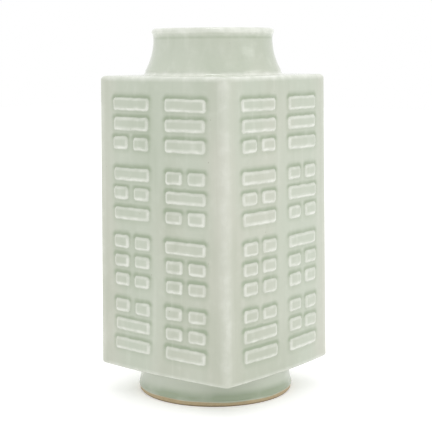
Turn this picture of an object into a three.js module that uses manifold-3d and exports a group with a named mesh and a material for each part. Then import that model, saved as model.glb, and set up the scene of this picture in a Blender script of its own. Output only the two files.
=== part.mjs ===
// Square vase in the form of an old jade cong: a tall four-sided body with a round neck and a round foot.
// It is slab-built: four moulded walls, a shoulder slab and a base slab are mitred at every edge and luted
// with slip, soft coils of clay are pressed into the seams inside, and a thrown neck and foot are luted on.
// Each wall carries the eight trigrams in low relief, in two columns of four.
// Millimetres, +Z up. The origin is the centre of the foot, on the surface that the vase stands on.
import * as THREE from "three";
import { mergeVertices, toCreasedNormals } from "three/addons/utils/BufferGeometryUtils.js";
import Module from "manifold-3d";

const wasm = await Module();
wasm.setup();

// Heights of the three stages, from the ground up
const footHeight = 22;
const bodyHeight = 223;
const neckHeight = 35;

// Body: the widths are measured between the corners before they are rounded
const bodyTopWidth = 122.5;
const bodyBottomWidth = 126.5;
const faceBulge = 3.5;
const wallThickness = 7;
const shoulderThickness = 7;
const baseThickness = 8;
const cornerRadius = 3.6;
const shoulderEdgeRadius = 3;
const baseEdgeRadius = 1.8;

// The layer of slip between two luted pieces
const slipJoint = 0.3;

// Coils of clay pressed into the seams inside
const coilLeg = 6;
const coilTopClearance = 0.8;

// Neck: a waisted collar with a rolled lip, flaring into the shoulder
const mouthRadius = 46.7;
const waistRadius = 45.5;
const neckBaseRadius = 53.9;
const neckFilletRadius = 2.6;
const neckFilletLip = 0.5;
const lipHeight = 7.2;
const lipRadius = 2.6;
const boreRadius = 40.6;
const boreBaseRadius = 43.5;
const neckSweep = 2.1;

// Foot: a flared ring with a bevelled bare rim
const footRadius = 60.2;
const footTopRadius = 57.6;
const footGlazeLine = 4.8;
const footRimRadius = 59.4;
const footRimBevel = 1.1;
const footInnerRadius = 50.5;
const footInnerBevel = 0.8;
const footSweep = 1.6;

// Relief: each trigram is three lines, solid or broken, read from the top down
const reliefHeight = 1.3;
const reliefDraft = 1;
const reliefSink = 0.6;
const lineLength = 37;
const lineHeight = 9.3;
const brokenLineGap = 5.7;
const linePitch = 14.7;
const trigramPitch = 51.1;
const topTrigramDrop = 35.3;
const middleRowSag = 1.6;
const columnSpacing = 53;
const SOLID = 1;
const BROKEN = 0;
const leftColumn = [
  [SOLID, SOLID, BROKEN],
  [SOLID, BROKEN, SOLID],
  [BROKEN, BROKEN, BROKEN],
  [BROKEN, SOLID, SOLID],
];
const rightColumn = [
  [SOLID, SOLID, SOLID],
  [BROKEN, SOLID, BROKEN],
  [SOLID, BROKEN, BROKEN],
  [BROKEN, BROKEN, SOLID],
];

// Fineness of the curved faces
const bulgeSteps = 8;
const cornerSteps = 3;
const edgeSteps = 2;
const coilSteps = 4;
const turnSteps = 60;
const neckSteps = 7;
const footSteps = 4;
const roundSteps = 4;
const creaseAngle = 0.5;
const mergeDistance = 1e-4;

// Levels and half widths that follow from the sizes above
const baseLevel = footHeight;
const shoulderLevel = footHeight + bodyHeight;
const topLevel = shoulderLevel + neckHeight;
const floorLevel = baseLevel + baseThickness;
const ceilingLevel = shoulderLevel - shoulderThickness;
const mitreGap = slipJoint / Math.SQRT2;
const eighthTurn = Math.PI / 4;
const quarterTurn = Math.PI / 2;

// Half of the body's width at a level, out to the unrounded corner
function halfWidth(level) {
  const share = (level - baseLevel) / bodyHeight;
  return THREE.MathUtils.lerp(bodyBottomWidth, bodyTopWidth, share) / 2;
}

// Distance of a bulged face from the axis, across a side of half width half
function faceReach(half, across) {
  return half + faceBulge * (1 - (across / half) ** 2);
}

// One side of the outside in plan, from left corner to right, as [across, reach] pairs.
// Both ends are half of a rounded corner, so they stop on the diagonals.
function outerSide(half) {
  const slope = (2 * faceBulge) / half;
  const normal = Math.atan2(1, slope);
  const centre = half - (cornerRadius * Math.hypot(1, slope)) / (1 + slope);
  const tangent = centre + cornerRadius * Math.cos(normal);
  const right = [];
  for (let k = 0; k < cornerSteps; k++) {
    const angle = THREE.MathUtils.lerp(eighthTurn, normal, k / cornerSteps);
    right.push([centre + cornerRadius * Math.cos(angle), centre + cornerRadius * Math.sin(angle)]);
  }
  const middle = [];
  for (let k = 0; k <= bulgeSteps; k++) {
    const across = tangent * ((2 * k) / bulgeSteps - 1);
    middle.push([across, faceReach(half, across)]);
  }
  const left = right.map(([across, reach]) => [-across, reach]);
  return [...left, ...middle, ...right.reverse()];
}

// The same side of the inside, point for point, with sharp corners
function innerSide(half) {
  const inner = half - wallThickness;
  const outer = outerSide(half);
  const end = outer[outer.length - 1][0];
  return outer.map(([across]) => {
    const moved = (across / end) * inner;
    return [moved, faceReach(inner, moved)];
  });
}

// The outside of the vertical profile: [level, inset] pairs from the base mitre up to the shoulder mitre
function wallLevels() {
  const levels = [];
  for (let k = 0; k <= edgeSteps; k++) {
    const angle = eighthTurn * (1 - k / edgeSteps);
    levels.push([
      baseLevel + baseEdgeRadius * (1 - Math.sin(angle)),
      baseEdgeRadius * (1 - Math.cos(angle)),
    ]);
  }
  for (let k = 0; k <= edgeSteps; k++) {
    const angle = (eighthTurn * k) / edgeSteps;
    levels.push([
      shoulderLevel - shoulderEdgeRadius * (1 - Math.sin(angle)),
      shoulderEdgeRadius * (1 - Math.cos(angle)),
    ]);
  }
  return levels;
}

// A closed solid between two sheets of points of the same size, whose rows run upwards and whose
// points run to the right, as seen from outside
function solidBetween(front, back) {
  const rows = front.length;
  const columns = front[0].length;
  const positions = [...front.flat(), ...back.flat()].flat();
  const at = (sheet, row, column) => sheet * rows * columns + row * columns + column;
  const indices = [];
  const quad = (a, b, c, d) => indices.push(a, b, c, a, c, d);
  for (let r = 0; r + 1 < rows; r++) {
    for (let c = 0; c + 1 < columns; c++) {
      quad(at(0, r, c), at(0, r, c + 1), at(0, r + 1, c + 1), at(0, r + 1, c));
      quad(at(1, r, c + 1), at(1, r, c), at(1, r + 1, c), at(1, r + 1, c + 1));
    }
    quad(at(1, r, 0), at(0, r, 0), at(0, r + 1, 0), at(1, r + 1, 0));
    const last = columns - 1;
    quad(at(0, r, last), at(1, r, last), at(1, r + 1, last), at(0, r + 1, last));
  }
  for (let c = 0; c + 1 < columns; c++) {
    quad(at(1, 0, c), at(1, 0, c + 1), at(0, 0, c + 1), at(0, 0, c));
    const top = rows - 1;
    quad(at(0, top, c), at(0, top, c + 1), at(1, top, c + 1), at(1, top, c));
  }
  return closedGeometry(positions, indices);
}

// A closed solid through level rings of points, which all run anticlockwise from above, bottom ring first
function solidThroughRings(rings) {
  const count = rings[0].length;
  const positions = rings.flat(2);
  const indices = [];
  for (let r = 0; r + 1 < rings.length; r++) {
    for (let k = 0; k < count; k++) {
      const next = (k + 1) % count;
      const low = r * count;
      const high = low + count;
      indices.push(low + k, low + next, high + next, low + k, high + next, high + k);
    }
  }
  const bottomCentre = positions.length / 3;
  const topStart = (rings.length - 1) * count;
  positions.push(0, 0, rings[0][0][2], 0, 0, rings[rings.length - 1][0][2]);
  for (let k = 0; k < count; k++) {
    const next = (k + 1) % count;
    indices.push(bottomCentre, next, k, bottomCentre + 1, topStart + k, topStart + next);
  }
  return closedGeometry(positions, indices);
}

function closedGeometry(positions, indices) {
  const geometry = new THREE.BufferGeometry();
  geometry.setAttribute("position", new THREE.Float32BufferAttribute(positions, 3));
  geometry.setIndex(indices);
  return geometry;
}

// Boolean work: a geometry as a solid, and a solid as a geometry
function toSolid(geometry) {
  const bare = geometry.clone();
  bare.deleteAttribute("normal");
  bare.deleteAttribute("uv");
  const merged = mergeVertices(bare, mergeDistance);
  return new wasm.Manifold(
    new wasm.Mesh({
      numProp: 3,
      vertProperties: merged.attributes.position.array,
      triVerts: new Uint32Array(merged.index.array),
    }),
  );
}

function toGeometry(solid) {
  const mesh = solid.getMesh();
  const geometry = new THREE.BufferGeometry();
  geometry.setAttribute("position", new THREE.BufferAttribute(mesh.vertProperties, 3));
  geometry.setIndex(new THREE.BufferAttribute(mesh.triVerts, 1));
  return geometry;
}

// A point of the front wall, which faces -Y, from its place across, its distance out and its level
const frontPoint = ([across, reach], level) => [across, -reach, level];

// A wall: a bulged slab that is mitred on all four edges. The slip's room comes off the mitres.
function wallSlab() {
  const levels = wallLevels();
  const lastRow = levels.length - 1;
  const front = levels.map(([level, inset], row) => {
    const side = outerSide(halfWidth(level) - inset);
    return mitredRow(side, level + endLift(row, lastRow));
  });
  const back = levels.map((_, row) => {
    const share = row / lastRow;
    const level = THREE.MathUtils.lerp(floorLevel, ceilingLevel, share);
    return mitredRow(innerSide(halfWidth(level)), level + endLift(row, lastRow));
  });
  return solidBetween(front, back);
}

// A row of the wall's points, with half of the joint's room taken off both upright mitres
function mitredRow(side, level) {
  const last = side.length - 1;
  return side.map(([across, reach], k) => {
    const pull = k === 0 ? mitreGap : k === last ? -mitreGap : 0;
    return frontPoint([across + pull, reach], level);
  });
}

// The bottom row of a wall is raised, and its top row lowered, by half of the joint's room
function endLift(row, lastRow) {
  if (row === 0) return mitreGap;
  return row === lastRow ? -mitreGap : 0;
}

// One raised bar, bent to the bulge of the wall and drafted on all four sides
function reliefBar(centreAcross, centreLevel, length) {
  const stations = (size, parts) => {
    const edge = size / 2;
    const inner = edge - reliefDraft;
    const marks = [[-edge, false]];
    for (let k = 0; k <= parts; k++) marks.push([inner * ((2 * k) / parts - 1), true]);
    marks.push([edge, false]);
    return marks;
  };
  const along = stations(length, length > lineHeight * 2 ? 2 : 1);
  const up = stations(lineHeight, 1);
  const sheet = (heightAt) =>
    up.map(([rise, onTopUp]) =>
      along.map(([shift, onTopAlong]) => {
        const level = centreLevel + rise;
        const across = centreAcross + shift;
        const reach = faceReach(halfWidth(level), across) + heightAt(onTopUp && onTopAlong);
        return frontPoint([across, reach], level);
      }),
    );
  const skirt = -reliefSink / 2;
  return solidBetween(
    sheet((onTop) => (onTop ? reliefHeight : skirt)),
    sheet(() => -reliefSink - skirt),
  );
}

// The level of a trigram's middle line. The two rows in the middle have slumped a little.
function trigramLevel(row, rowCount) {
  const share = row / (rowCount - 1);
  const sag = middleRowSag * 4 * share * (1 - share);
  return shoulderLevel - topTrigramDrop - trigramPitch * row - sag;
}

// All the bars of one wall
function reliefBars() {
  const bars = [];
  const halfLength = (lineLength - brokenLineGap) / 2;
  const halfOffset = (halfLength + brokenLineGap) / 2;
  [leftColumn, rightColumn].forEach((column, columnNumber) => {
    const centre = columnSpacing * (columnNumber - 0.5);
    column.forEach((trigram, row) => {
      trigram.forEach((line, place) => {
        const level = trigramLevel(row, column.length) + linePitch * (1 - place);
        if (line === SOLID) {
          bars.push(reliefBar(centre, level, lineLength));
        } else {
          bars.push(reliefBar(centre - halfOffset, level, halfLength));
          bars.push(reliefBar(centre + halfOffset, level, halfLength));
        }
      });
    });
  });
  return bars;
}

function mouldedWall() {
  const pieces = [wallSlab(), ...reliefBars()].map(toSolid);
  return toGeometry(wasm.Manifold.union(pieces));
}

// A ring of points right round the body, from the side curve of one wall
function bodyRing(side, level) {
  const ring = [];
  for (let turn = 0; turn < 4; turn++) {
    const direction = turn * quarterTurn;
    const cos = Math.round(Math.cos(direction));
    const sin = Math.round(Math.sin(direction));
    side.slice(0, -1).forEach(([across, reach]) => {
      ring.push([across * cos + reach * sin, across * sin - reach * cos, level]);
    });
  }
  return ring;
}

// The shoulder: a slab that is mitred to the walls below, with a rounded edge and a round hole for the neck
function shoulderSlab() {
  const rings = [bodyRing(innerSide(halfWidth(ceilingLevel)), ceilingLevel + mitreGap)];
  for (let k = 0; k <= edgeSteps; k++) {
    const angle = eighthTurn * (1 + k / edgeSteps);
    const inset = shoulderEdgeRadius * (1 - Math.cos(angle));
    const level = shoulderLevel - shoulderEdgeRadius * (1 - Math.sin(angle));
    rings.push(bodyRing(outerSide(halfWidth(level) - inset), level + (k === 0 ? mitreGap : 0)));
  }
  const hole = new THREE.CylinderGeometry(boreBaseRadius, boreBaseRadius, 4 * shoulderThickness, turnSteps);
  hole.rotateX(quarterTurn);
  hole.translate(0, 0, shoulderLevel);
  return toGeometry(toSolid(solidThroughRings(rings)).subtract(toSolid(hole)));
}

// The base: the same slab turned over, without a hole
function baseSlab() {
  const rings = [];
  for (let k = 0; k <= edgeSteps; k++) {
    const angle = quarterTurn - (eighthTurn * k) / edgeSteps;
    const inset = baseEdgeRadius * (1 - Math.cos(angle));
    const level = baseLevel + baseEdgeRadius * (1 - Math.sin(angle));
    rings.push(bodyRing(outerSide(halfWidth(level) - inset), level - (k === edgeSteps ? mitreGap : 0)));
  }
  rings.push(bodyRing(innerSide(halfWidth(floorLevel)), floorLevel - mitreGap));
  return solidThroughRings(rings);
}

// The hollow face of a coil, smoothed with a finger, from the end of one leg to the end of the other
function smoothedFace(start, corner, end) {
  const from = new THREE.Vector3(...start);
  const to = new THREE.Vector3(...end);
  const hollow = new THREE.Vector3(...corner).add(from).add(to).divideScalar(3);
  return new THREE.QuadraticBezierCurve3(from, hollow, to).getPoints(coilSteps).map((at) => at.toArray());
}

// The back of a coil, point for point with its face: along one leg to the corner and then along the other
function pressedBack(start, corner, end) {
  const half = coilSteps / 2;
  const between = (from, to, share) =>
    from.map((value, axis) => THREE.MathUtils.lerp(value, to[axis], share));
  const back = [];
  for (let k = 0; k <= coilSteps; k++) {
    back.push(k <= half ? between(start, corner, k / half) : between(corner, end, k / half - 1));
  }
  return back;
}

// A coil in the upright seam between the front wall and the right wall
function cornerCoil() {
  const section = (level) => {
    const inner = halfWidth(level) - wallThickness;
    const near = inner - slipJoint;
    const legEnd = inner - coilLeg;
    const legReach = faceReach(inner, legEnd) - slipJoint;
    return [[legReach, -legEnd, level], [near, -near, level], [legEnd, -legReach, level]];
  };
  const ends = [section(floorLevel + slipJoint), section(ceilingLevel - coilTopClearance)];
  return solidBetween(ends.map((legs) => smoothedFace(...legs)), ends.map((legs) => pressedBack(...legs)));
}

// A coil in the seam between the front wall and the base, bent to the wall and stopped by the corner coils
function floorCoil() {
  const inner = halfWidth(floorLevel) - wallThickness;
  const end = inner - coilLeg - slipJoint * 2;
  const foot = floorLevel + slipJoint;
  const head = floorLevel + coilLeg;
  const columns = [];
  for (let k = 0; k <= bulgeSteps; k++) {
    const across = end * (1 - (2 * k) / bulgeSteps);
    const reachAt = (level) => faceReach(halfWidth(level) - wallThickness, across) - slipJoint;
    const corner = frontPoint([across, reachAt(head)], foot);
    const toe = frontPoint([across, reachAt(head) - coilLeg], foot);
    const top = frontPoint([across, reachAt(head)], head);
    columns.push([toe, corner, top]);
  }
  const sheet = (rowsOf) => {
    const points = columns.map((legs) => rowsOf(...legs));
    return points[0].map((_, row) => points.map((column) => column[row]));
  };
  return solidBetween(sheet(smoothedFace), sheet(pressedBack));
}

// A closed outline turned round the axis. Its points are [radius, level], and the outside runs upwards.
function turned(outline) {
  const points = [...outline, outline[0]].map(([radius, level]) => new THREE.Vector2(radius, level));
  const geometry = new THREE.LatheGeometry(points, turnSteps);
  geometry.rotateX(quarterTurn);
  return geometry;
}

// Points on a round arc of an outline, from one angle to another, anticlockwise from the outward direction
function arcPoints(radius, level, size, startAngle, endAngle) {
  const points = [];
  for (let k = 0; k <= roundSteps; k++) {
    const angle = THREE.MathUtils.lerp(startAngle, endAngle, k / roundSteps);
    points.push([radius + size * Math.cos(angle), level + size * Math.sin(angle)]);
  }
  return points;
}

// The neck: a cove at its foot, a waist, and a lip that was rolled outwards
function thrownNeck() {
  const coveLevel = shoulderLevel + neckFilletLip + neckFilletRadius;
  const waistLevel = topLevel - lipHeight;
  const outerAt = (level) => {
    const share = (waistLevel - level) / (waistLevel - shoulderLevel);
    return waistRadius + (neckBaseRadius - waistRadius) * share ** neckSweep;
  };
  const coveCentre = outerAt(coveLevel) + neckFilletRadius;
  const outline = [
    [coveCentre, shoulderLevel],
    ...arcPoints(coveCentre, coveLevel, neckFilletRadius, -quarterTurn, -2 * quarterTurn),
  ];
  for (let k = 1; k <= neckSteps; k++) {
    const level = THREE.MathUtils.lerp(coveLevel, waistLevel, k / neckSteps);
    outline.push([outerAt(level), level]);
  }
  const lipCentre = mouthRadius - lipRadius;
  const lipLevel = topLevel - lipRadius;
  const innerLipCentre = boreRadius + lipRadius;
  outline.push(
    ...arcPoints(lipCentre, lipLevel, lipRadius, -eighthTurn, quarterTurn),
    ...arcPoints(innerLipCentre, lipLevel, lipRadius, quarterTurn, 2 * quarterTurn),
    [boreRadius, waistLevel],
    [(boreRadius + boreBaseRadius) / 2, (waistLevel + shoulderLevel) / 2],
    [boreBaseRadius, shoulderLevel],
  );
  return turned(outline);
}

// The foot ring: flared, glazed down to a line, then cut bare with a bevel on both sides of the rim
function turnedFoot() {
  const outline = [
    [footInnerRadius, baseLevel],
    [footInnerRadius, footInnerBevel],
    [footInnerRadius + footInnerBevel, 0],
    [footRimRadius - footRimBevel, 0],
    [footRimRadius, footRimBevel],
  ];
  for (let k = 0; k <= footSteps; k++) {
    const share = 1 - k / footSteps;
    const level = THREE.MathUtils.lerp(baseLevel, footGlazeLine, share);
    outline.push([THREE.MathUtils.lerp(footTopRadius, footRadius, share ** footSweep), level]);
  }
  return turned(outline);
}

const finishes = {
  glaze: { color: 0xc3cab8, roughness: 0.22, metalness: 0 },
  bisque: { color: 0xd8d2c4, roughness: 0.8, metalness: 0 },
};

function piece(name, geometry, finish) {
  const shaded = toCreasedNormals(geometry, creaseAngle);
  const mesh = new THREE.Mesh(shaded, new THREE.MeshStandardMaterial(finishes[finish]));
  mesh.name = name;
  return mesh;
}

// The vase. The walls and coils are made once, for the front, and turned to the other three sides.
const vase = new THREE.Group();
const wallGeometry = mouldedWall();
const cornerCoilGeometry = cornerCoil();
const floorCoilGeometry = floorCoil();
const sides = ["front", "right", "back", "left"];
sides.forEach((side, turn) => {
  const nextSide = sides[(turn + 1) % sides.length];
  const quarter = new THREE.Group();
  quarter.add(
    piece(`wall_${side}`, wallGeometry, "glaze"),
    piece(`corner_coil_${side}_${nextSide}`, cornerCoilGeometry, "bisque"),
    piece(`floor_coil_${side}`, floorCoilGeometry, "bisque"),
  );
  quarter.rotation.z = turn * quarterTurn;
  vase.add(quarter);
});
vase.add(
  piece("base_slab", baseSlab(), "glaze"),
  piece("shoulder_slab", shoulderSlab(), "glaze"),
  piece("neck", thrownNeck(), "glaze"),
  piece("foot_ring", turnedFoot(), "glaze"),
);

export default vase;
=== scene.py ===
# %% [markdown]
# # A square celadon vase
# The vase has the form of an old jade tube: four tall walls, a flat shoulder with a short round neck, and a
# round foot. It is built of slabs, so the model is built of the same pieces: four walls that carry the eight
# trigrams in relief, a shoulder, a base, a neck, a foot ring, and the coils pressed into the seams inside.
# The CAD model is loaded first as a fixed frame. Every piece below takes its place from it, in metres.

import math

import bpy
import numpy as np
from mathutils import Matrix, Vector


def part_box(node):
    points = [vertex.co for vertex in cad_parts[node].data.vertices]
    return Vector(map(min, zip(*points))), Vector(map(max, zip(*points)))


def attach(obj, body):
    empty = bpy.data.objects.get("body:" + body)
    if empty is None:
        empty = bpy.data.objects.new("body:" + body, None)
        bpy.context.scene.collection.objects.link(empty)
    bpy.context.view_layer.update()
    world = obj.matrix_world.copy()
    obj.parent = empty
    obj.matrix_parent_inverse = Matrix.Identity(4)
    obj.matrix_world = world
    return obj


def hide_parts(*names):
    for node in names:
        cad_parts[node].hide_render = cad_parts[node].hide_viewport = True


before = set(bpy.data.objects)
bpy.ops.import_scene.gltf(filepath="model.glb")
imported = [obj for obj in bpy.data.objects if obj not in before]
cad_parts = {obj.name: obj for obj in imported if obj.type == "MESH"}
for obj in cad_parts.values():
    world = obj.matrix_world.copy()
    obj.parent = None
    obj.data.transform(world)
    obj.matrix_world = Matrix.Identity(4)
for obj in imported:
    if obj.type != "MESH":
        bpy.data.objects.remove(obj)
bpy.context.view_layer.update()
print("CAD nodes:", len(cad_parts))

# %% [markdown]
# The levels come from the boxes of the CAD nodes. What a box can't tell, such as the bulge of a wall or the
# radius of a corner, is named here with the size that the CAD model has too.

# %% Levels and sizes
MM = 0.001
SLIP_JOINT = 0.3 * MM
SHOULDER_THICKNESS = 7 * MM
base_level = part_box("foot_ring")[1].z
floor_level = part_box("floor_coil_front")[0].z - SLIP_JOINT
neck_low, neck_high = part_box("neck")
shoulder_level = neck_low.z
top_level = neck_high.z
ceiling_level = shoulder_level - SHOULDER_THICKNESS

BOTTOM_WIDTH = 126.5 * MM
TOP_WIDTH = 122.5 * MM
FACE_BULGE = 3.5 * MM
WALL_THICKNESS = 7 * MM
CORNER_RADIUS = 3.6 * MM
SHOULDER_EDGE = 3 * MM
BASE_EDGE = 1.8 * MM
RELIEF = 1.25 * MM
LINE_LENGTH = 37 * MM
LINE_HEIGHT = 9.3 * MM
LINE_GAP = 5.7 * MM
LINE_PITCH = 14.7 * MM
TRIGRAM_PITCH = 51.1 * MM
TOP_TRIGRAM_DROP = 35.3 * MM
MIDDLE_SAG = 1.6 * MM
COLUMN_SPACING = 53 * MM
BAR_ROUNDING = 2.4 * MM
QUARTER = math.pi / 2
EIGHTH = math.pi / 4
SIDES = ["front", "right", "back", "left"]
print("body from", round(base_level, 4), "to", round(shoulder_level, 4), "top", round(top_level, 4))

# %% [markdown]
# ## One way to write a node tree
# A node tree is easier to read as arithmetic than as a list of links. `Wire` wraps a socket, so that Python's
# own signs add the Math nodes, and `Tree.add` makes any other node from its type, settings and sockets. It
# hands back `Outputs`, which gives the node's sockets as wires. The same classes serve the geometry tree and
# the materials, because both kinds have the Math node.


# %% Wires and trees
class Wire:
    """A socket that arithmetic works on."""

    def __init__(self, tree, socket):
        self.tree = tree
        self.socket = socket

    def maths(self, operation, *values):
        sockets = dict(enumerate(values))
        return self.tree.add("ShaderNodeMath", {"operation": operation}, sockets)[0]

    def __add__(self, other):
        return self.maths("ADD", self, other)

    def __sub__(self, other):
        return self.maths("SUBTRACT", self, other)

    def __rsub__(self, other):
        return self.maths("SUBTRACT", other, self)

    def __mul__(self, other):
        return self.maths("MULTIPLY", self, other)

    def __truediv__(self, other):
        return self.maths("DIVIDE", self, other)

    __radd__ = __add__
    __rmul__ = __mul__

    def above(self, limit):
        return self.maths("GREATER_THAN", self, limit)

    def ramp(self, start, end):
        """0 at start and 1 at end, with a soft curve between them."""
        settings = {"interpolation_type": "SMOOTHSTEP"}
        sockets = {"Value": self, "From Min": start, "From Max": end}
        return self.tree.add("ShaderNodeMapRange", settings, sockets)[0]


class Outputs:
    """The outputs of a node, by name or number."""

    def __init__(self, tree, node):
        self.tree = tree
        self.node = node

    def __getitem__(self, key):
        return Wire(self.tree, self.node.outputs[key])


class Tree:
    """A node tree with one way to add a node."""

    def __init__(self, tree):
        self.tree = tree

    def add(self, kind, settings=None, sockets=None):
        node = self.tree.nodes.new(kind)
        for name, value in (settings or {}).items():
            setattr(node, name, value)
        for key, value in (sockets or {}).items():
            if isinstance(value, Wire):
                self.tree.links.new(value.socket, node.inputs[key])
            else:
                node.inputs[key].default_value = value
        return Outputs(self, node)

    def blend(self, factor, first, second):
        """A colour between two colours."""
        return self.add("ShaderNodeMix", {"data_type": "RGBA"}, {0: factor, 6: first, 7: second})[2]

    def attribute(self, name):
        return self.add("ShaderNodeAttribute", {"attribute_name": name})["Fac"]

    def noise(self, place, scale, detail):
        return self.add("ShaderNodeTexNoise", {}, {"Vector": place, "Scale": scale, "Detail": detail})[0]

    def stretched(self, place, sizes):
        """A place multiplied along X, Y and Z. A small number draws a noise out that way."""
        return self.add("ShaderNodeVectorMath", {"operation": "MULTIPLY"}, {0: place, 1: sizes})[0]


def colour(red, green, blue):
    """A colour as seen on a screen, 0 to 255, as the linear values that a shader takes."""
    parts = [part / 255 for part in (red, green, blue)]
    linear = [p / 12.92 if p <= 0.04045 else ((p + 0.055) / 1.055) ** 2.4 for p in parts]
    return (*linear, 1.0)


# %% [markdown]
# ## The glaze
# Celadon is a thick glossy glaze that is coloured by a little iron. Where it runs thin over an edge the pale
# body shows through, and where it pools it turns a deeper green. So the pieces carry an attribute for thin
# glaze and one for pooled glaze, and the walls a third for the warmer tone of their margins. The attribute
# for
# thin glaze also carries painted light: on the flat top of the shoulder, in the cove at the foot of the neck
# and along the lower edges of the bars. The attribute for pooled glaze also carries a painted shadow under
# the lip of the neck. The material blends its greens by them. A painted image could do this too, but noise
# has no seams at the joints. Slow noise makes the clouding, noise that is stretched upright makes the faint
# runs, and a Voronoi texture makes the few iron specks. The scales count the waves of each noise in a metre.


# %% Glaze material
GLAZE = colour(195, 202, 186)
GLAZE_WARM = colour(201, 203, 189)
# The deeper green of pooled glaze also paints the shadow under the lip of the neck, and the pale green of
# thin glaze also paints light on the shoulder, in the cove of the neck and along the lower edges of the bars.
GLAZE_POOL_AND_SHADE = colour(160, 172, 148)
GLAZE_THIN_AND_LIGHT = colour(235, 237, 228)
IRON_SPECK = colour(120, 112, 88)
BARE_CLAY = colour(210, 194, 158)
BARE_CLAY_DARK = colour(164, 143, 110)
# Painted contact shadow: the dark brown that the bare clay is blended to towards the floor.
PAINTED_CONTACT_SHADOW = colour(118, 100, 72)
BISQUE = colour(214, 208, 194)

CLOUD_SCALE = 22.0
DRIFT_SCALE = 13.0
PATCH_SCALE = 75.0
MOTTLE_SCALE = 120.0
RUN_SCALE = 170.0
SPECK_SCALE = 130.0
SPECK_GROUPS = 60.0
SPECK_SIZE = (0.03, 0.07)
SWELL_SCALE = 55.0
RIPPLE_SCALE = 420.0
CLOUD_STRETCH = (1.0, 1.0, 0.45)
RUN_STRETCH = (1.0, 1.0, 0.07)
GLAZE_IOR = 1.5


def glaze_material():
    material = bpy.data.materials.new("celadon_glaze")
    material.use_nodes = True
    material.node_tree.nodes.clear()
    tree = Tree(material.node_tree)
    place = tree.add("ShaderNodeTexCoord")["Object"]
    drawn = tree.stretched(place, CLOUD_STRETCH)
    cloud = tree.noise(drawn, CLOUD_SCALE, 3.0)
    drift = tree.noise(drawn, DRIFT_SCALE, 2.0)
    mottle = tree.noise(place, MOTTLE_SCALE, 3.0)
    runs = tree.noise(tree.stretched(place, RUN_STRETCH), RUN_SCALE, 2.0)
    patches = tree.noise(place, PATCH_SCALE, 2.0)
    # The pooled glaze attribute also holds a painted shadow under the lip of the neck, and the thin glaze
    # attribute also holds painted light on the shoulder, in the cove of the neck and along the bars' lower
    # edges.
    pool_and_shade = tree.attribute("glaze_pool") * (0.4 + patches * 0.75)
    pool_and_shade = pool_and_shade + cloud.ramp(0.42, 0.72) * 0.26 + runs.ramp(0.5, 0.8) * 0.1
    thin_and_light = tree.attribute("glaze_thin") * (0.48 + mottle.ramp(0.3, 0.7) * 0.45)
    thin_and_light = thin_and_light + mottle.ramp(0.5, 0.8) * 0.1 + runs.ramp(0.45, 0.2) * 0.12
    warm = drift.ramp(0.4, 0.62) * 0.7 + tree.attribute("glaze_margin") * 0.5
    green = tree.blend(warm, GLAZE, GLAZE_WARM)
    green = tree.blend(pool_and_shade, green, GLAZE_POOL_AND_SHADE)
    green = tree.blend(thin_and_light, green, GLAZE_THIN_AND_LIGHT)
    cells = tree.add("ShaderNodeTexVoronoi", {"feature": "F1"}, {"Vector": place, "Scale": SPECK_SCALE})
    chosen = tree.noise(place, SPECK_GROUPS, 0.0).above(0.62)
    speck = (1 - cells["Distance"].ramp(*SPECK_SIZE)) * chosen * 0.45
    green = tree.blend(speck, green, IRON_SPECK)
    swell = tree.noise(place, SWELL_SCALE, 2.0)
    ripple = tree.noise(place, RIPPLE_SCALE, 2.0)
    height = swell * 0.9 + ripple * 0.08 - speck * 0.3
    bump = tree.add("ShaderNodeBump", {}, {"Height": height, "Strength": 0.22, "Distance": 0.6 * MM})
    sockets = {
        "Base Color": green,
        "Roughness": 0.12 + mottle * 0.1,
        "IOR": GLAZE_IOR,
        "Normal": bump["Normal"],
    }
    shader = tree.add("ShaderNodeBsdfPrincipled", {}, sockets)
    tree.add("ShaderNodeOutputMaterial", {}, {"Surface": shader[0]})
    return material


# %% [markdown]
# The foot is glazed down to a line, and below it the clay is bare and has turned brown in the kiln. That is
# one piece with two finishes. Two material slots would part them along the edges of faces, so a second
# material blends clay over glaze by the attribute `bare`, and the line can waver.


# %% Foot and clay materials
CLAY_GRAIN = 700.0
CLAY_PATCHES = 60.0
FOOT_CLOUDS = 30.0
FOOT_PATCHES = 55.0
BISQUE_GRAIN = 500.0
# Heights over which the painted contact shadow darkens the bare clay towards the floor.
CONTACT_SHADOW_TOP = 1.6 * MM
CONTACT_SHADOW_LOW = 0.5 * MM


def clay_colour(tree, place):
    grain = tree.noise(place, CLAY_GRAIN, 3.0)
    patches = tree.noise(place, CLAY_PATCHES, 2.0)
    return tree.blend(grain * 0.5 + patches * 0.5, BARE_CLAY, BARE_CLAY_DARK), grain


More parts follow.
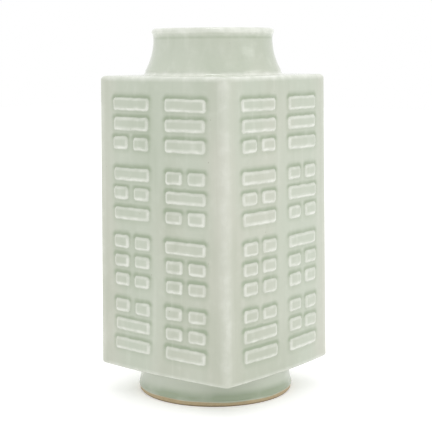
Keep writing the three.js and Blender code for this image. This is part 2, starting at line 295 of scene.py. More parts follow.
def foot_material():
    material = bpy.data.materials.new("celadon_foot")
    material.use_nodes = True
    material.node_tree.nodes.clear()
    tree = Tree(material.node_tree)
    place = tree.add("ShaderNodeTexCoord")["Object"]
    cloud = tree.noise(place, FOOT_CLOUDS, 3.0)
    patches = tree.noise(place, FOOT_PATCHES, 2.0)
    pool_and_shade = tree.attribute("glaze_pool") * (0.45 + patches.ramp(0.3, 0.7) * 0.6)
    pool_and_shade = pool_and_shade + cloud.ramp(0.4, 0.7) * 0.2
    green = tree.blend(pool_and_shade, GLAZE, GLAZE_POOL_AND_SHADE)
    green = tree.blend(tree.attribute("glaze_thin") * 0.7, green, GLAZE_THIN_AND_LIGHT)
    clay, grain = clay_colour(tree, place)
    level = tree.add("ShaderNodeSeparateXYZ", {}, {0: place})[2]
    # Painted shade: the bare clay is darkened towards its lowest edge, a painted contact shadow where the
    # foot meets the floor.
    clay = tree.blend(level.ramp(CONTACT_SHADOW_TOP, CONTACT_SHADOW_LOW) * 0.6, clay, PAINTED_CONTACT_SHADOW)
    bare = tree.attribute("bare")
    bump = tree.add("ShaderNodeBump", {}, {"Height": grain * bare, "Strength": 0.3, "Distance": 0.3 * MM})
    sockets = {
        "Base Color": tree.blend(bare, green, clay),
        "Roughness": 0.2 + bare * 0.55,
        "IOR": GLAZE_IOR,
        "Normal": bump["Normal"],
    }
    shader = tree.add("ShaderNodeBsdfPrincipled", {}, sockets)
    tree.add("ShaderNodeOutputMaterial", {}, {"Surface": shader[0]})
    return material


def coil_material():
    material = bpy.data.materials.new("bisque_coil")
    material.use_nodes = True
    material.node_tree.nodes.clear()
    tree = Tree(material.node_tree)
    place = tree.add("ShaderNodeTexCoord")["Object"]
    grain = tree.noise(place, BISQUE_GRAIN, 3.0)
    bump = tree.add("ShaderNodeBump", {}, {"Height": grain, "Strength": 0.3, "Distance": 0.4 * MM})
    sockets = {
        "Base Color": tree.blend(grain, BISQUE, GLAZE),
        "Roughness": 0.5 + grain * 0.2,
        "Normal": bump["Normal"],
    }
    shader = tree.add("ShaderNodeBsdfPrincipled", {}, sockets)
    tree.add("ShaderNodeOutputMaterial", {}, {"Surface": shader[0]})
    return material


glaze = glaze_material()
foot_finish = foot_material()
coil_finish = coil_material()
print("materials:", [m.name for m in (glaze, foot_finish, coil_finish)])

# %% [markdown]
# ## The plan of the body
# A wall bulges across like a shallow arch, and its ends are half of a rounded corner. The last facet of the
# half corner lies square to the diagonal, so two walls that meet there share one flat facet, and the glaze
# looks unbroken over the joint. The edges of the shoulder and the base are rounded in the same way.


# %% Side curves
CORNER_STEPS = 6
EDGE_STEPS = 6
FLAT_HALF = 50 * MM
MARGIN_STEPS = 5
FINE_STEP = 0.55 * MM
COARSE_STEP = 1.7 * MM
FINE_MARGIN = 1.9 * MM


def half_width(level):
    share = (level - base_level) / (shoulder_level - base_level)
    return (BOTTOM_WIDTH + (TOP_WIDTH - BOTTOM_WIDTH) * share) / 2


def face_reach(half, across):
    return half + FACE_BULGE * (1 - (across / half) ** 2)


def arc_to_diagonal(radius, start, steps):
    """Offsets from an arc's centre, from an angle to the diagonal, ending in half of a facet."""
    step = (EIGHTH - start) / (steps - 0.5)
    angles = [start + k * step for k in range(steps)]
    points = [(radius * math.cos(angle), radius * math.sin(angle)) for angle in angles]
    last = radius * math.cos(step / 2)
    return points + [(last * math.cos(EIGHTH), last * math.sin(EIGHTH))]


def graded(low, high, edges):
    """Places from low to high that lie close together near the edges and wide apart elsewhere."""
    places = [low]
    while places[-1] < high - FINE_STEP / 2:
        near = any(abs(places[-1] + FINE_STEP - edge) < FINE_MARGIN for edge in edges)
        places.append(min(places[-1] + (FINE_STEP if near else COARSE_STEP), high))
    return places


def side_curve(half, flat_places):
    """(across, reach) pairs along one outside wall, from corner to corner."""
    slope = 2 * FACE_BULGE / half
    normal = math.atan2(1, slope)
    centre = half - CORNER_RADIUS * math.hypot(1, slope) / (1 + slope)
    tangent = centre + CORNER_RADIUS * math.cos(normal)
    corner = arc_to_diagonal(CORNER_RADIUS, QUARTER - normal, CORNER_STEPS)
    right = [(centre + rise, centre + run) for run, rise in corner]
    stretch = np.linspace(flat_places[-1], tangent, MARGIN_STEPS + 2)[1:-1]
    margin = [(across, face_reach(half, across)) for across in stretch]
    middle = [(across, face_reach(half, across)) for across in flat_places]
    mirrored = [(-across, reach) for across, reach in (margin + right)[::-1]]
    return mirrored + middle + margin + right


# %% [markdown]
# ## The trigrams
# Each wall has two columns of four trigrams, and each trigram has three lines, solid or broken. The bars were
# pressed from a mould by hand, so no two are quite alike. Modelling 36 bars by hand on four walls would be
# slow and stiff. A Geometry Nodes tree does it instead: it places a rectangle at every bar's centre, turns
# and scales each one a little at random, and then raises the wall wherever it lies close to a rectangle. The
# same distance tells where the glaze runs thin, over the edge of a bar, and where it pools, on the ledge
# above it. The lower edge of each bar is made paler still, which is painted light thrown up from the floor.

# %% Lines of the trigrams, from the top down: 1 is a solid line and 0 a broken one
LEFT_COLUMN = [(1, 1, 0), (1, 0, 1), (0, 0, 0), (0, 1, 1)]
RIGHT_COLUMN = [(1, 1, 1), (0, 1, 0), (1, 0, 0), (0, 0, 1)]


def bar_places():
    """(across, level, length) of every bar of one wall."""
    short = (LINE_LENGTH - LINE_GAP) / 2
    offset = (short + LINE_GAP) / 2
    bars = []
    for number, column in enumerate((LEFT_COLUMN, RIGHT_COLUMN)):
        centre = COLUMN_SPACING * (number - 0.5)
        for row, trigram in enumerate(column):
            share = row / (len(column) - 1)
            sag = MIDDLE_SAG * 4 * share * (1 - share)
            middle = shoulder_level - TOP_TRIGRAM_DROP - TRIGRAM_PITCH * row - sag
            for place, solid in enumerate(trigram):
                level = middle + LINE_PITCH * (1 - place)
                if solid:
                    bars.append((centre, level, LINE_LENGTH))
                else:
                    bars.append((centre - offset, level, short))
                    bars.append((centre + offset, level, short))
    return bars


bars = bar_places()
print("bars on a wall:", len(bars))


# %% Bar centres as points
def bar_points(name):
    mesh = bpy.data.meshes.new(name)
    mesh.from_pydata([(across, 0, level) for across, level, _ in bars], [], [])
    lengths = mesh.attributes.new("bar_length", "FLOAT", "POINT")
    lengths.data.foreach_set("value", [length for _, _, length in bars])
    holder = bpy.data.objects.new(name, mesh)
    bpy.context.scene.collection.objects.link(holder)
    return holder


# %% Relief tree
BAR_SHIFT = 0.4 * MM
BAR_TURN = 0.012
EDGE_WOBBLE = 1.3 * MM
WOBBLE_SCALE = 130.0
SLOPE_INSIDE = 1.4 * MM
SLOPE_OUTSIDE = 0.4 * MM
LEDGE_INSIDE = 0.3 * MM
LEDGE_START = 0.8 * MM
LEDGE_END = 4.6 * MM
ARRIS_START = 2.4 * MM
ARRIS_FULL = 1.2 * MM
ARRIS_FADE = 0.6 * MM
TINY = 0.1 * MM


def relief_tree():
    group = bpy.data.node_groups.new("trigram_relief", "GeometryNodeTree")
    face = group.interface
    face.new_socket("Wall", in_out="INPUT", socket_type="NodeSocketGeometry")
    face.new_socket("Bar centres", in_out="INPUT", socket_type="NodeSocketObject")
    face.new_socket("Relief", in_out="INPUT", socket_type="NodeSocketFloat")
    face.new_socket("Bar height", in_out="INPUT", socket_type="NodeSocketFloat")
    face.new_socket("Rounding", in_out="INPUT", socket_type="NodeSocketFloat")
    face.new_socket("Seed", in_out="INPUT", socket_type="NodeSocketInt")
    face.new_socket("Material", in_out="INPUT", socket_type="NodeSocketMaterial")
    face.new_socket("Wall", in_out="OUTPUT", socket_type="NodeSocketGeometry")
    tree = Tree(group)
    inputs = tree.add("NodeGroupInput")
    rounding = inputs["Rounding"]
    seed = inputs["Seed"]

    def random(low, high, shift):
        sockets = {2: low, 3: high, "Seed": seed + shift}
        return tree.add("FunctionNodeRandomValue", {"data_type": "FLOAT"}, sockets)[1]

    points = tree.add("GeometryNodeObjectInfo", {}, {"Object": inputs["Bar centres"]})["Geometry"]
    length = tree.add("GeometryNodeInputNamedAttribute", {"data_type": "FLOAT"}, {"Name": "bar_length"})[0]
    wide = length * random(0.975, 1.02, 1) - rounding * 2
    high = inputs["Bar height"] * random(0.95, 1.06, 2) - rounding * 2
    scale = tree.add("ShaderNodeCombineXYZ", {}, {0: wide, 1: high, 2: 1.0})[0]
    lean = random(-BAR_TURN, BAR_TURN, 3)
    turn = tree.add("ShaderNodeCombineXYZ", {}, {0: QUARTER, 1: lean, 2: 0.0})[0]
    aside = random(-BAR_SHIFT, BAR_SHIFT, 4)
    raised = random(-BAR_SHIFT, BAR_SHIFT, 5)
    shift = tree.add("ShaderNodeCombineXYZ", {}, {0: aside, 1: 0.0, 2: raised})[0]
    moved = tree.add("GeometryNodeSetPosition", {}, {"Geometry": points, "Offset": shift})[0]
    sockets = {"Size X": 1.0, "Size Y": 1.0, "Vertices X": 2, "Vertices Y": 2}
    tile = tree.add("GeometryNodeMeshGrid", {}, sockets)[0]
    sockets = {"Points": moved, "Instance": tile, "Rotation": turn, "Scale": scale}
    tiles = tree.add("GeometryNodeInstanceOnPoints", {}, sockets)[0]
    tiles = tree.add("GeometryNodeRealizeInstances", {}, {0: tiles})[0]

    place = tree.add("GeometryNodeInputPosition")[0]
    parts = tree.add("ShaderNodeSeparateXYZ", {}, {0: place})
    flat = tree.add("ShaderNodeCombineXYZ", {}, {0: parts[0], 1: 0.0, 2: parts[2]})[0]
    wobble = tree.noise(flat, WOBBLE_SCALE, 1.0)
    sockets = {0: tiles, "Sample Position": flat}
    nearest = tree.add("GeometryNodeProximity", {"target_element": "FACES"}, sockets)
    reach = nearest["Distance"] + (wobble - 0.5) * EDGE_WOBBLE
    level = tree.add("ShaderNodeSeparateXYZ", {}, {0: nearest["Position"]})[2]
    skin = tree.add("GeometryNodeInputNamedAttribute", {"data_type": "FLOAT"}, {"Name": "skin"})[0]
    rise = (1 - reach.ramp(rounding - SLOPE_INSIDE, rounding + SLOPE_OUTSIDE)) * skin
    out = tree.add("ShaderNodeCombineXYZ", {}, {0: 0.0, 1: rise * inputs["Relief"] * -1, 2: 0.0})[0]
    wall = tree.add("GeometryNodeSetPosition", {}, {"Geometry": inputs["Wall"], "Offset": out})[0]

    over = (parts[2] - level) / (nearest["Distance"] + TINY)
    ledge = reach.ramp(rounding - LEDGE_INSIDE, rounding + SLOPE_OUTSIDE)
    ledge = ledge * (1 - reach.ramp(rounding + LEDGE_START, rounding + LEDGE_END))
    pool_and_shade = ledge * (0.32 + over.ramp(-0.2, 0.8) * 0.9) * skin
    arris = reach.ramp(rounding - ARRIS_START, rounding - ARRIS_FULL)
    arris = arris * (1 - reach.ramp(rounding - ARRIS_FADE, rounding + SLOPE_OUTSIDE))
    edge = tree.add("GeometryNodeInputNamedAttribute", {"data_type": "FLOAT"}, {"Name": "edge"})[0]
    # The rims of the bars are pale where the glaze runs thin, and paler still along their lower edges, which
    # is painted light thrown up from the floor.
    thin_and_light = arris * (1.15 - over.ramp(-0.9, 0.9) * 0.5) * skin + edge
    for name, value in (("glaze_pool", pool_and_shade), ("glaze_thin", thin_and_light)):
        settings = {"data_type": "FLOAT", "domain": "POINT"}
        sockets = {"Geometry": wall, "Name": name, "Value": value}
        wall = tree.add("GeometryNodeStoreNamedAttribute", settings, sockets)[0]
    wall = tree.add("GeometryNodeRealizeInstances", {}, {0: wall})[0]
    wall = tree.add("GeometryNodeSetMaterial", {}, {"Geometry": wall, "Material": inputs["Material"]})[0]
    tree.add("NodeGroupOutput", {}, {0: wall})
    return group


relief = relief_tree()
print("relief tree nodes:", len(relief.nodes))

# %% [markdown]
# ## The walls
# The outer sheet of a wall is a grid that is finer along the edges of the bars, where the surface bends. The
# inner sheet needs few points. Between them run the four mitred faces that meet the neighbours. Each wall is
# made where the front one stands, gets small irregularities of its own from the tree, and is then turned to
# its side. Four copies of one wall would be quicker, but the eye would find the same flaws on every side.


# %% Wall levels and grid
CORNER_BAND = 6.5 * MM
MARGIN_START = 40 * MM
MARGIN_WIDTH = 14 * MM
BACK_COLUMNS = 12
CREASE = math.radians(62)


def wall_levels():
    """(level, inset) pairs from the mitre at the base to the mitre at the shoulder."""
    low = [
        (base_level + BASE_EDGE - rise, BASE_EDGE - run)
        for run, rise in arc_to_diagonal(BASE_EDGE, 0, EDGE_STEPS)
    ]
    high = [
        (shoulder_level - SHOULDER_EDGE + rise, SHOULDER_EDGE - run)
        for run, rise in arc_to_diagonal(SHOULDER_EDGE, 0, EDGE_STEPS)
    ]
    edges = sorted({level + sign * LINE_HEIGHT / 2 for _, level, _ in bars for sign in (-1, 1)})
    middle = graded(low[0][0], high[0][0], edges)[1:-1]
    return low[::-1] + [(level, 0.0) for level in middle] + high


def flat_places():
    """Places across the middle of a wall, finer along the ends of the bars."""
    edges = sorted({across + sign * length / 2 for across, _, length in bars for sign in (-1, 1)})
    places = graded(0.0, FLAT_HALF, [abs(edge) for edge in edges])
    return [-place for place in places[:0:-1]] + places


def edge_amount(across, half, level):
    """How thin the glaze runs over the corners and edges of the body, from 0 to about 1."""
    corner = 1 - min(1, (half - abs(across)) / CORNER_BAND)
    ends = min(shoulder_level - level, (level - base_level) * 1.3)
    return max(0.0, corner**0.7 * 0.52, 1.1 - ends / (1.3 * SHOULDER_EDGE))


def wall_mesh(name):
    levels = wall_levels()
    flats = flat_places()
    rows = [side_curve(half_width(level) - inset, flats) for level, inset in levels]
    columns = len(rows[0])
    back_marks = np.linspace(0, columns - 1, BACK_COLUMNS + 1).round().astype(int)
    points = []
    skin = []
    edge = []
    margin = []
    for (level, inset), row in zip(levels, rows):
        for across, reach in row:
            points.append((across, -reach, level))
            margin.append(min(1.0, max(0.0, (abs(across) - MARGIN_START) / MARGIN_WIDTH)))
            skin.append(1.0 if abs(across) <= FLAT_HALF + MM and inset == 0 else 0.0)
            edge.append(edge_amount(across, half_width(level) - inset, level))
    front_count = len(points)
    for number in range(len(levels)):
        level = floor_level + (ceiling_level - floor_level) * number / (len(levels) - 1)
        inner = half_width(level) - WALL_THICKNESS
        for mark in back_marks:
            across = rows[number][mark][0] / rows[number][-1][0] * inner
            points.append((across, -face_reach(inner, across), level))
    skin += [0.0] * (len(points) - front_count)
    edge += [0.0] * (len(points) - front_count)
    margin += [0.0] * (len(points) - front_count)
    faces = wall_faces(len(levels), columns, back_marks, front_count)
    mesh = bpy.data.meshes.new(name)
    mesh.from_pydata(points, [], faces)
    for label, values in (("skin", skin), ("edge", edge), ("glaze_margin", margin)):
        mesh.attributes.new(label, "FLOAT", "POINT").data.foreach_set("value", values)
    return mesh


def wall_faces(row_count, columns, marks, start):
    """The faces of a wall: outer sheet, inner sheet and the four mitres between them."""
    width = len(marks)
    faces = []
    for r in range(row_count - 1):
        low, high = r * columns, (r + 1) * columns
        faces += [(low + c, low + c + 1, high + c + 1, high + c) for c in range(columns - 1)]
        low_in, high_in = start + r * width, start + (r + 1) * width
        faces += [(low_in + c + 1, low_in + c, high_in + c, high_in + c + 1) for c in range(width - 1)]
        faces.append((low_in, low, high, high_in))
        faces.append((low + columns - 1, low_in + width - 1, high_in + width - 1, high + columns - 1))
    top = (row_count - 1) * columns
    top_in = start + (row_count - 1) * width
    for c in range(width - 1):
        span = list(range(marks[c], marks[c + 1] + 1))
        faces.append([start + c, start + c + 1, *reversed(span)])
        faces.append([*(top + k for k in span), top_in + c + 1, top_in + c])
    return faces


# %% Make the walls
def finish_piece(piece, node):
    """Smooth shading with sharp joints, and the three facts that the frame needs."""
    piece.data.set_sharp_from_angle(angle=CREASE)
    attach(piece, "root")
    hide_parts(node)


def relief_wall(side, turn):
    plain = bpy.data.objects.new("plain_" + side, wall_mesh("plain_" + side))
    bpy.context.scene.collection.objects.link(plain)
    holder = bar_points("bar_centres_" + side)
    modifier = plain.modifiers.new("relief", "NODES")
    modifier.node_group = relief
    sizes = {
        "Bar centres": holder,
        "Relief": RELIEF,
        "Bar height": LINE_HEIGHT,
        "Rounding": BAR_ROUNDING,
        "Seed": 10 * turn + 3,
        "Material": glaze,
    }
    for item in relief.interface.items_tree:
        if item.in_out == "INPUT" and item.name in sizes:
            modifier[item.identifier] = sizes[item.name]
    bpy.context.view_layer.update()
    evaluated = plain.evaluated_get(bpy.context.evaluated_depsgraph_get())
    mesh = bpy.data.meshes.new_from_object(evaluated)
    mesh.name = "moulded_wall_" + side
    for leftover in (plain, holder):
        bpy.data.objects.remove(leftover)
    mesh.transform(Matrix.Rotation(turn * QUARTER, 4, "Z"))
    mesh.polygons.foreach_set("use_smooth", [True] * len(mesh.polygons))
    wall = bpy.data.objects.new("moulded_wall_" + side, mesh)
    bpy.context.scene.collection.objects.link(wall)
    finish_piece(wall, "wall_" + side)
    return wall


for turn, side in enumerate(SIDES):
    wall = relief_wall(side, turn)
    print(wall.name, len(wall.data.polygons), "faces")

# %% [markdown]
# ## Shoulder and base
# Both are square slabs whose outline is the same bulged square as the walls. The shoulder runs from the mitre
# over the rounded edge to the hole under the neck. The base is such a slab turned over, but closed in the
# middle. A hole cut with a boolean would leave long thin faces round it, so both are made of rings of points
# that pass from the square to the circle, which keeps the flat part smooth.


# %% Slab helpers
def body_ring(half, level, flats):
    side = side_curve(half, flats)[:-1]
    ring = []
    for turn in range(4):
        cos, sin = round(math.cos(turn * QUARTER)), round(math.sin(turn * QUARTER))
        ring += [(across * cos + reach * sin, across * sin - reach * cos, level) for across, reach in side]
    return ring


def inner_ring(level, flats):
    half = half_width(level)
    inner = half - WALL_THICKNESS
    side = side_curve(half, flats)
    end = side[-1][0]
    ring = []
    for turn in range(4):
        cos, sin = round(math.cos(turn * QUARTER)), round(math.sin(turn * QUARTER))
        for across, _ in side[:-1]:
            moved = across / end * inner
            reach = face_reach(inner, moved)
            ring.append((moved * cos + reach * sin, moved * sin - reach * cos, level))
    return ring


def round_ring(like, radius, level):
    ring = []
    for x, y, _ in like:
        size = math.hypot(x, y)
        ring.append((x / size * radius, y / size * radius, level))
    return ring


def between(first, second, share):
    return [tuple(a + (b - a) * share for a, b in zip(p, q)) for p, q in zip(first, second)]


def ring_solid(name, rings, closed):
    """A solid through rings of points. It is closed on itself, or capped at both ends."""
    count = len(rings[0])
    points = [point for ring in rings for point in ring]
    faces = []
    last = len(rings) if closed else len(rings) - 1
    for r in range(last):
        low, high = r * count, ((r + 1) % len(rings)) * count
        faces += [(low + k, low + (k + 1) % count, high + (k + 1) % count, high + k) for k in range(count)]
    if not closed:
        faces.append(list(reversed(range(count))))
        top = (len(rings) - 1) * count
        faces.append([top + k for k in range(count)])
    mesh = bpy.data.meshes.new(name)
    mesh.from_pydata(points, [], faces)
    mesh.polygons.foreach_set("use_smooth", [True] * len(mesh.polygons))
    return mesh


def store(mesh, name, rule):
    """A value for every point of a mesh, worked out from its place."""
    values = [rule(point.co) for point in mesh.vertices]
    mesh.attributes.new(name, "FLOAT", "POINT").data.foreach_set("value", values)


def add_piece(mesh, material, node):
    mesh.materials.append(material)
    piece = bpy.data.objects.new(mesh.name, mesh)
    bpy.context.scene.collection.objects.link(piece)
    finish_piece(piece, node)
    print(piece.name, len(mesh.polygons), "faces")
    return piece


# %% Shoulder
NECK_HOLE = 43.5 * MM
SKIRT_RADIUS = 59 * MM
POLE_RADIUS = MM
slab_places = list(np.linspace(-FLAT_HALF, FLAT_HALF, 41))


def edge_rings(edge_radius, level, direction):
    """Rings over a rounded edge, from the mitre to the flat."""
    rings = []
    for run, rise in arc_to_diagonal(edge_radius, 0, EDGE_STEPS)[::-1]:
        centre = level - direction * edge_radius
        ring_level = centre + direction * run
        half = half_width(ring_level) - (edge_radius - rise)
        rings.append(body_ring(half, ring_level, slab_places))
    return rings


def shoulder_mesh():
    over = edge_rings(SHOULDER_EDGE, shoulder_level, 1)
    outer = over[-1]
    hole_top = round_ring(outer, NECK_HOLE, shoulder_level)
    hole_low = round_ring(outer, NECK_HOLE, ceiling_level)
    under = inner_ring(ceiling_level, slab_places)
    skirt = round_ring(outer, SKIRT_RADIUS, shoulder_level)
    flat = [between(outer, skirt, k / 4) for k in range(1, 5)]
    flat += [between(skirt, hole_top, k / 6) for k in range(1, 7)]
    back = [between(hole_low, under, k / 4) for k in range(5)]
    mesh = ring_solid("shoulder_slab_glazed", over + flat + back, True)
    outside = TOP_WIDTH / 2 + FACE_BULGE

    # The flat top is pale all over. Near the rounded edge that is thin glaze, and over the rest it is painted
    # light that stands for the light falling on the flat top from above.
    def thin_and_light(place):
        if place.z <= ceiling_level + 2 * MM:
            return 0.0
        from_edge = outside - max(abs(place.x), abs(place.y))
        return max(0.68, 1.15 - from_edge / (4 * SHOULDER_EDGE))

    store(mesh, "glaze_thin", thin_and_light)
    store(mesh, "glaze_pool", lambda place: 0.0)
    return mesh


add_piece(shoulder_mesh(), glaze, "shoulder_slab")


# %% Base
def base_mesh():
    over = edge_rings(BASE_EDGE, base_level, -1)
    outer = over[-1]
    centre = [between(outer, round_ring(outer, POLE_RADIUS, base_level), k / 6) for k in range(1, 7)]
    top = inner_ring(floor_level, slab_places)
    inside = [between(round_ring(top, POLE_RADIUS, floor_level), top, k / 3) for k in range(4)]
    rings = inside + over + centre
    mesh = ring_solid("base_slab_glazed", rings[::-1], False)
    store(mesh, "glaze_thin", lambda place: 0.15)
    store(mesh, "glaze_pool", lambda place: 0.0)
    return mesh


add_piece(base_mesh(), glaze, "base_slab")

# %% [markdown]
# ## Neck and foot
# Both were thrown on the wheel, so each is an outline turned round the axis. A thrown ring is never a perfect
# circle once it has been luted on and fired, so its radius wavers by a tenth of a millimetre or two. A Screw
# modifier would turn the outline into perfect circles, so a loop places the rings here instead.


# %% Turned pieces
TURN_STEPS = 180
WAVER_ROOM = 0.2 * MM


def waver(angle, level):
    """How far a thrown ring strays from a true circle, always less than the room left for it."""
    slow = math.sin(2 * angle + 0.6) * 0.10 + math.sin(3 * angle + 2.1) * 0.05
    return (slow + math.sin(5 * angle + 40 * level) * 0.03) * MM


def turned_mesh(name, outline):
    """A closed outline of (radius, level) turned round the axis. Its outside runs upwards."""
    rings = []
    for radius, level in outline:
        ring = []
        for k in range(TURN_STEPS):
            angle = 2 * math.pi * k / TURN_STEPS
            size = radius - WAVER_ROOM + waver(angle, level)
            ring.append((size * math.cos(angle), size * math.sin(angle), level))
        rings.append(ring)
    return ring_solid(name, rings, True)


def arc(radius, level, size, start, end, steps):
    angles = np.linspace(start, end, steps + 1)
    return [(radius + size * math.cos(a), level + size * math.sin(a)) for a in angles]


# %% Neck
WAIST_RADIUS = 45.5 * MM
NECK_BASE_RADIUS = 53.9 * MM
MOUTH_RADIUS = 46.7 * MM
BORE_RADIUS = 40.6 * MM
LIP_HEIGHT = 7.2 * MM
LIP_ROUND = 2.6 * MM
COVE = 3.4 * MM
COVE_LIP = 0.12 * MM
NECK_SWEEP = 2.1
# Height of the painted highlight in the cove at the foot of the neck.
PALE_LIP = 5.2 * MM
COVE_HIGHLIGHT_HEIGHT = 5 * MM
# Where the painted shadow under the lip sits, just above the waist.
LIP_SHADOW_OFFSET = 0.4 * MM


def neck_mesh():
    cove_level = shoulder_level + COVE_LIP + COVE
    waist_level = top_level - LIP_HEIGHT

    def outer(level):
        share = (waist_level - level) / (waist_level - shoulder_level)
        return WAIST_RADIUS + (NECK_BASE_RADIUS - WAIST_RADIUS) * share**NECK_SWEEP

    centre = outer(cove_level) + COVE
    outline = [(centre, shoulder_level)]
    outline += arc(centre, cove_level, COVE, -QUARTER, -2 * QUARTER, 8)
    outline += [(outer(level), level) for level in np.linspace(cove_level, waist_level, 16)[1:]]
    outline += arc(MOUTH_RADIUS - LIP_ROUND, top_level - LIP_ROUND, LIP_ROUND, -EIGHTH, QUARTER, 10)
    outline += arc(BORE_RADIUS + LIP_ROUND, top_level - LIP_ROUND, LIP_ROUND, QUARTER, 2 * QUARTER, 8)
    for share in np.linspace(0, 1, 8):
        level = waist_level + (shoulder_level - waist_level) * share
        outline.append((BORE_RADIUS + (NECK_HOLE - BORE_RADIUS) * share, level))
    mesh = turned_mesh("thrown_neck", outline)

    def thin_and_light(place):
        lip = min(1.0, max(0.0, (place.z - (top_level - PALE_LIP)) / (1.4 * MM)))
        # Painted highlight: the cove at the foot of the neck is paled, fading upwards, for the light that
        # glints off its curve.
        cove = 1 - (place.z - shoulder_level) / COVE_HIGHLIGHT_HEIGHT
        return max(lip * 0.95, cove, 0.1)

    # Painted shadow: a darker band just under the lip of the neck, where the lip shades the waist.
    def pool_and_shade(place):
        waist = 1 - abs(place.z - (waist_level + LIP_SHADOW_OFFSET)) / (1.3 * MM)
        return max(0.0, waist) * 0.9

    store(mesh, "glaze_thin", thin_and_light)
    store(mesh, "glaze_pool", pool_and_shade)
    return mesh


add_piece(neck_mesh(), glaze, "neck")

# %% Foot
FOOT_RADIUS = 60.2 * MM
FOOT_TOP_RADIUS = 57.6 * MM
GLAZE_LINE = 4.8 * MM
RIM_RADIUS = 59.4 * MM
RIM_BEVEL = 1.1 * MM
FOOT_INNER = 50.5 * MM
INNER_BEVEL = 0.8 * MM
FOOT_SWEEP = 1.6
BARE_DROP = 0.8 * MM
BARE_WAVER = 0.35 * MM
FOOT_POOL_LEVEL = 6.5 * MM
FOOT_POOL_SPREAD = 6 * MM
FOOT_PALE_LEVEL = 9 * MM


def foot_mesh():
    outline = [(FOOT_INNER, level) for level in np.linspace(base_level, INNER_BEVEL, 8)]
    outline += [(FOOT_INNER + INNER_BEVEL, 0.0), (RIM_RADIUS - RIM_BEVEL, 0.0), (RIM_RADIUS, RIM_BEVEL)]
    rim_top_radius = FOOT_RADIUS - 0.15 * MM
    rim_top_level = GLAZE_LINE - 0.2 * MM
    for share in np.linspace(0, 1, 9)[1:]:
        radius = RIM_RADIUS + (rim_top_radius - RIM_RADIUS) * share
        outline.append((radius, RIM_BEVEL + (rim_top_level - RIM_BEVEL) * share))
    for share in np.linspace(1, 0, 18):
        level = base_level + (GLAZE_LINE - base_level) * share
        outline.append((FOOT_TOP_RADIUS + (FOOT_RADIUS - FOOT_TOP_RADIUS) * share**FOOT_SWEEP, level))
    mesh = turned_mesh("turned_foot", outline)

    def bare(place):
        angle = math.atan2(place.y, place.x)
        line = GLAZE_LINE - BARE_DROP + (math.sin(3 * angle) + math.sin(11 * angle) * 0.5) * BARE_WAVER
        return min(1.0, max(0.0, (line - place.z) / (0.5 * MM)))

    def pool_and_shade(place):
        return max(0.0, 1 - abs(place.z - FOOT_POOL_LEVEL) / FOOT_POOL_SPREAD) * 1.15

    def thin_and_light(place):
        drip = 1 - abs(place.z - GLAZE_LINE + BARE_DROP) / (0.7 * MM)
        upper = (place.z - FOOT_PALE_LEVEL) / FOOT_PALE_LEVEL
        return min(0.5, max(0.0, drip * 0.5, upper * 0.5))

    store(mesh, "bare", bare)
    store(mesh, "glaze_pool", pool_and_shade)
    store(mesh, "glaze_thin", thin_and_light)
    return mesh


add_piece(foot_mesh(), foot_finish, "foot_ring")

# %% [markdown]
# ## Coils inside
# The coils are hidden unless one looks down the neck. Their CAD solids have the right shape, so they stay,
# with the pale finish of glaze washed thinly over clay.

# %% Coils
for name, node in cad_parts.items():
    if "coil" in name:
        node.data.materials.clear()
        node.data.materials.append(coil_finish)
print("coils:", sum("coil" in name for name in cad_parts))

# %% [markdown]
# ## Camera and light
# The camera stands where the photographer's did: a little above the shoulder, at 39.5 degrees round from the
# front, and tilted down. Most of the light is a bright white room, at a level where the glaze renders about
# as its colour is written. A wide lamp on the right lights that side a little more, and a small one overhead
# gives the gloss its bright points. The floor is white, keeps the vase's soft shadow, and throws light back
# on the lower half of the walls. Only the camera and what gloss and glass show find the room at full white,
# so that the background is white without more light on the vase.

# %% Camera
AZIMUTH = math.radians(39.54)
CAMERA_DISTANCE = 0.92092
CAMERA_SIDE = 0.00138
CAMERA_HEIGHT = 0.26138
CAMERA_TILT = 0.1356
CAMERA_ROLL = -0.0074
CAMERA_LENS = 99.5

camera = bpy.data.objects.new("camera", bpy.data.cameras.new("camera"))
camera.data.lens = CAMERA_LENS
camera.data.sensor_width = 36.0
spin = Matrix.Rotation(AZIMUTH, 4, "Z")
spot = spin @ Vector((CAMERA_SIDE, -CAMERA_DISTANCE, 0)) + Vector((0, 0, CAMERA_HEIGHT))
tilt = Matrix.Rotation(QUARTER - CAMERA_TILT, 4, "X")
camera.matrix_world = Matrix.Translation(spot) @ spin @ tilt @ Matrix.Rotation(CAMERA_ROLL, 4, "Z")
bpy.context.scene.collection.objects.link(camera)
bpy.context.scene.camera = camera
bpy.context.scene.view_settings.view_transform = "Standard"

# %% Floor
FLOOR_HALF = 4.0
FLOOR_LIFT = 0.28
FLOOR_COLOUR = (0.93, 0.93, 0.925, 1)
WHITE = (1, 1, 1, 1)


def seen_rays(tree):
    """1 for the rays that should find a white room: the camera's, and those that gloss and glass show."""
    rays = tree.add("ShaderNodeLightPath")
    seen = rays["Is Camera Ray"] + rays["Is Glossy Ray"] + rays["Is Transmission Ray"]
    return seen.maths("MINIMUM", seen, 1.0)


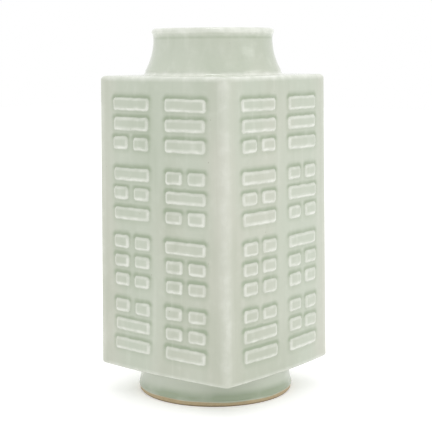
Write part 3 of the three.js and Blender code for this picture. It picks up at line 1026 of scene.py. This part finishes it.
def floor_material():
    material = bpy.data.materials.new("floor")
    material.use_nodes = True
    material.node_tree.nodes.clear()
    tree = Tree(material.node_tree)
    matte = tree.add("ShaderNodeBsdfDiffuse", {}, {"Color": FLOOR_COLOUR})
    lift = tree.add("ShaderNodeEmission", {}, {"Color": WHITE, "Strength": seen_rays(tree) * FLOOR_LIFT})
    both = tree.add("ShaderNodeAddShader", {}, {0: matte[0], 1: lift[0]})
    tree.add("ShaderNodeOutputMaterial", {}, {"Surface": both[0]})
    return material


floor_mesh = bpy.data.meshes.new("floor")
corners = [(x * FLOOR_HALF, y * FLOOR_HALF, 0) for x, y in ((-1, -1), (1, -1), (1, 1), (-1, 1))]
floor_mesh.from_pydata(corners, [], [(0, 1, 2, 3)])
floor_mesh.materials.append(floor_material())
floor = bpy.data.objects.new("floor", floor_mesh)
bpy.context.scene.collection.objects.link(floor)

# %% World and lamps
WORLD_LEVEL = 0.99
KEY_WATTS = 1.7
KEY_SIZE = (0.75, 0.35)
KEY_PLACE = spin @ Vector((1.41, -0.51, 0.78))
TOP_WATTS = 0.9
TOP_SIZE = (0.14, 0.14)
TOP_PLACE = Vector((0, 0, 1.1))
LAMP_TARGET = Vector((0, 0, 0.2))

world = bpy.data.worlds.new("studio")
bpy.context.scene.world = world
world.use_nodes = True
world.node_tree.nodes.clear()
tree = Tree(world.node_tree)
level = WORLD_LEVEL + seen_rays(tree) * (1 - WORLD_LEVEL)
backdrop = tree.add("ShaderNodeBackground", {}, {"Color": WHITE, "Strength": level})
tree.add("ShaderNodeOutputWorld", {}, {"Surface": backdrop[0]})


def soft_lamp(name, place, size, watts):
    lamp = bpy.data.lights.new(name, "AREA")
    lamp.shape = "RECTANGLE"
    lamp.size, lamp.size_y = size
    lamp.energy = watts
    holder = bpy.data.objects.new(name, lamp)
    way = (LAMP_TARGET - place).to_track_quat("-Z", "Y")
    holder.matrix_world = Matrix.Translation(place) @ way.to_matrix().to_4x4()
    bpy.context.scene.collection.objects.link(holder)


soft_lamp("key", KEY_PLACE, KEY_SIZE, KEY_WATTS)
soft_lamp("top", TOP_PLACE, TOP_SIZE, TOP_WATTS)
print("camera at", [round(part, 3) for part in spot])
